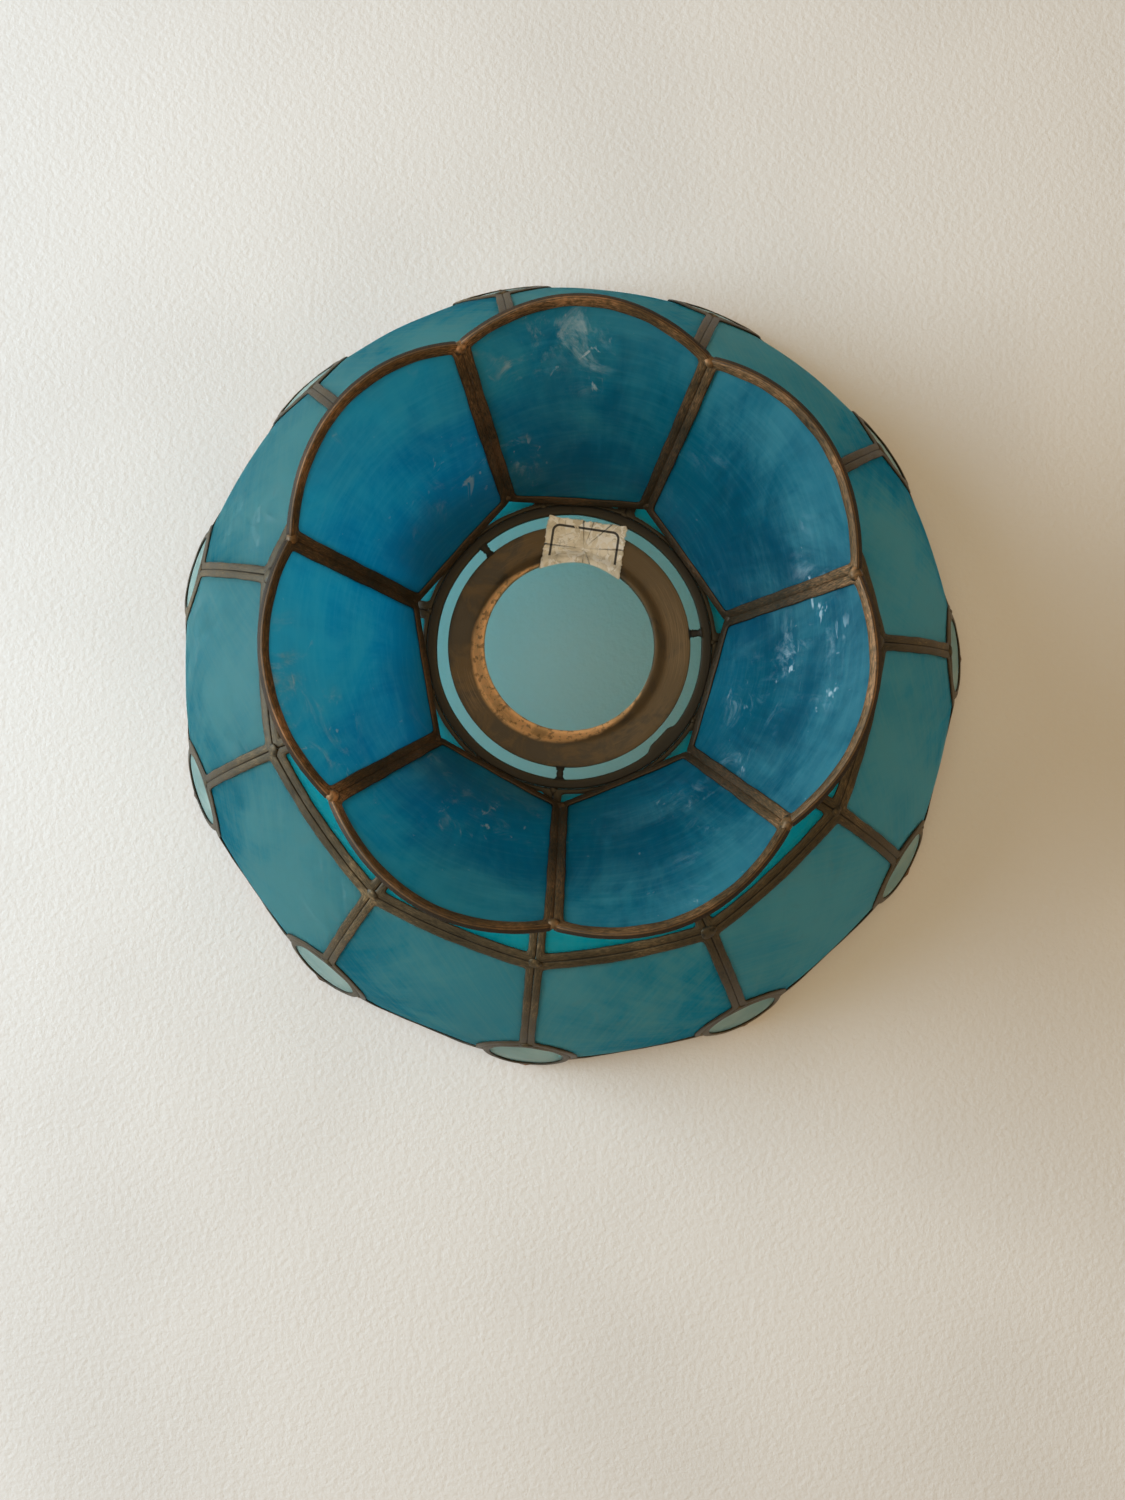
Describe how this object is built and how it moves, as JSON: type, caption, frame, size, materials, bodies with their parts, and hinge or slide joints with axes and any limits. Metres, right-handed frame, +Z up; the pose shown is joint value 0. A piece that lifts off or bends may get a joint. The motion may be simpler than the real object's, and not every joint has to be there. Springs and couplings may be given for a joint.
{
  "type": "capiz shell lampshade",
  "caption": "Domed lampshade of dyed shell panes in soldered bronze channels, with a flared petal crown and a ring for a lampholder.",
  "frame": {"origin": "on the shade's axis, in the plane of the open rim's lower face, where the shade stands on a table", "axes": "+Z up along the shade's axis, from the open rim through the neck to the petal crown; +X and +Y lie level, with a dome strut 12.27 degrees anticlockwise of +Y seen from above"},
  "size_m": [0.2392, 0.2392, 0.1189],
  "materials": {
    "crown_shell": "satin, dyed windowpane oyster shell, deep blue",
    "dome_shell": "satin, dyed windowpane oyster shell, teal",
    "pale_shell": "satin, windowpane oyster shell with little dye",
    "bronze": "dark brown patina, worn copper-bright on edges",
    "label_paper": "matt, torn and aged"
  },
  "bodies": {
    "root": {"crown_petal_1": "crown_shell", "crown_channel_1": "bronze", "crown_petal_2": "crown_shell", "crown_channel_2": "bronze", "crown_petal_3": "crown_shell", "crown_channel_3": "bronze", "crown_petal_4": "crown_shell", "crown_channel_4": "bronze", "crown_petal_5": "crown_shell", "crown_channel_5": "bronze", "crown_petal_6": "crown_shell", "crown_channel_6": "bronze", "crown_petal_7": "crown_shell", "crown_channel_7": "bronze", "shoulder_pane_1": "dome_shell", "belly_pane_1": "dome_shell", "medallion_1": "pale_shell", "shoulder_pane_2": "dome_shell", "belly_pane_2": "dome_shell", "medallion_2": "pale_shell", "shoulder_pane_3": "dome_shell", "belly_pane_3": "dome_shell", "medallion_3": "pale_shell", "shoulder_pane_4": "dome_shell", "belly_pane_4": "dome_shell", "medallion_4": "pale_shell", "shoulder_pane_5": "dome_shell", "belly_pane_5": "dome_shell", "medallion_5": "pale_shell", "shoulder_pane_6": "dome_shell", "belly_pane_6": "dome_shell", "medallion_6": "pale_shell", "shoulder_pane_7": "dome_shell", "belly_pane_7": "dome_shell", "medallion_7": "pale_shell", "shoulder_pane_8": "dome_shell", "belly_pane_8": "dome_shell", "medallion_8": "pale_shell", "shoulder_pane_9": "dome_shell", "belly_pane_9": "dome_shell", "medallion_9": "pale_shell", "shoulder_pane_10": "dome_shell", "belly_pane_10": "dome_shell", "medallion_10": "pale_shell", "shoulder_pane_11": "dome_shell", "belly_pane_11": "dome_shell", "medallion_11": "pale_shell", "shoulder_channels": "bronze", "belly_channels": "bronze", "medallion_channels": "bronze", "rim_ring": "bronze", "neck_ring": "bronze", "fitter_ring": "bronze", "fitter_tabs": "bronze", "filler_panes": "pale_shell", "paper_label": "label_paper"}
  },
  "joints": []
}
